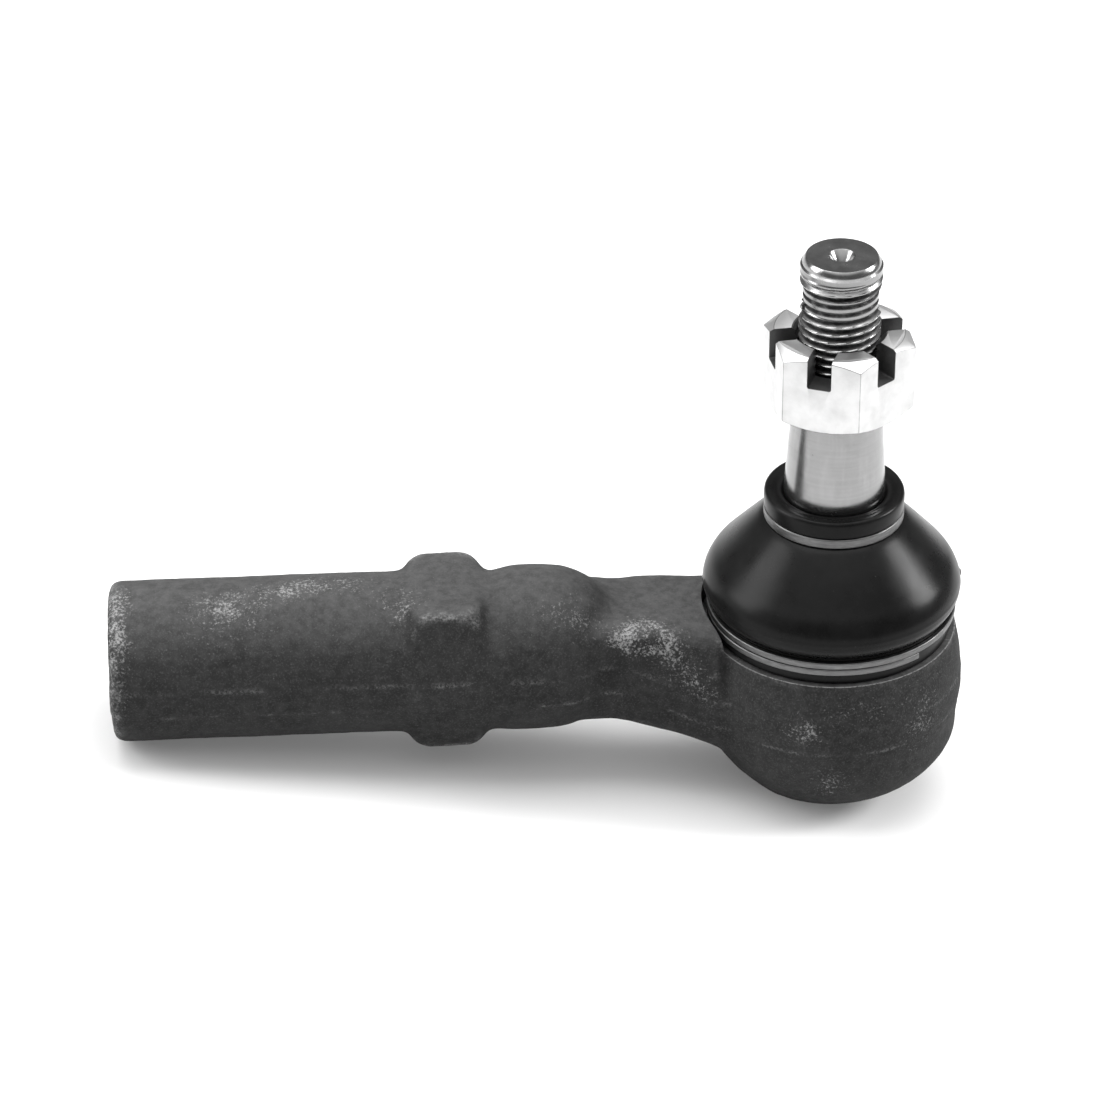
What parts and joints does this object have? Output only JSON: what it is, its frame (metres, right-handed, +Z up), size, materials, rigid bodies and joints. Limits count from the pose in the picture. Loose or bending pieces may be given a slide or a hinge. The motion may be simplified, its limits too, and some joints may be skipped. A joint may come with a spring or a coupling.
{
  "type": "tie rod end",
  "caption": "Steering tie rod end: forged ball housing with a threaded sleeve, tapered ball stud under a rubber boot, and a slotted hexagon nut.",
  "frame": {"origin": "on the sleeve's axis where its internal thread begins, just inside the countersunk mouth", "axes": "+X along the sleeve towards the ball head, +Z up along the stud at rest, Y across"},
  "size_m": [0.1486, 0.0462, 0.1024],
  "materials": {
    "forged_steel": "matte dark phosphate over a shot-blasted forging, rubbed lighter on edges",
    "pressed_plate": "dark phosphated pressed plate",
    "bearing_resin": "natural acetal resin",
    "spring_steel": "oiled spring steel",
    "ground_steel": "turned and ground bright steel",
    "zinc_plate": "bright zinc plate",
    "boot_rubber": "satin black moulded rubber",
    "ring_wire": "flat spring wire, dull bright"
  },
  "bodies": {
    "housing": {"housing": "forged_steel", "cover_plate": "pressed_plate", "bearing_upper": "bearing_resin", "bearing_lower": "bearing_resin", "preload_washer": "spring_steel"},
    "boot": {"dust_boot": "boot_rubber", "boot_ring_lower": "ring_wire"},
    "collar": {"boot_ring_upper": "ring_wire"},
    "stud": {"ball_stud": "ground_steel"},
    "nut": {"castle_nut": "zinc_plate"}
  },
  "joints": [
    {"name": "swivel", "type": "hinge", "parent": "housing", "child": "boot", "pos_m": [0.124, 0, -0.006], "axis": [0, 0, 1], "continuous": true},
    {"name": "stud_tilt", "type": "hinge", "parent": "boot", "child": "collar", "pos_m": [0.124, 0, -0.006], "axis": [0, 1, 0], "range_deg": [-25, 25], "deforming": ["dust_boot"]},
    {"name": "stud_spin", "type": "hinge", "parent": "collar", "child": "stud", "pos_m": [0.124, 0, -0.006], "axis": [0, 0, 1], "continuous": true},
    {"name": "nut_travel", "type": "slide", "parent": "stud", "child": "nut", "axis": [0, 0, 1], "range_m": [0, 0.029]}
  ]
}
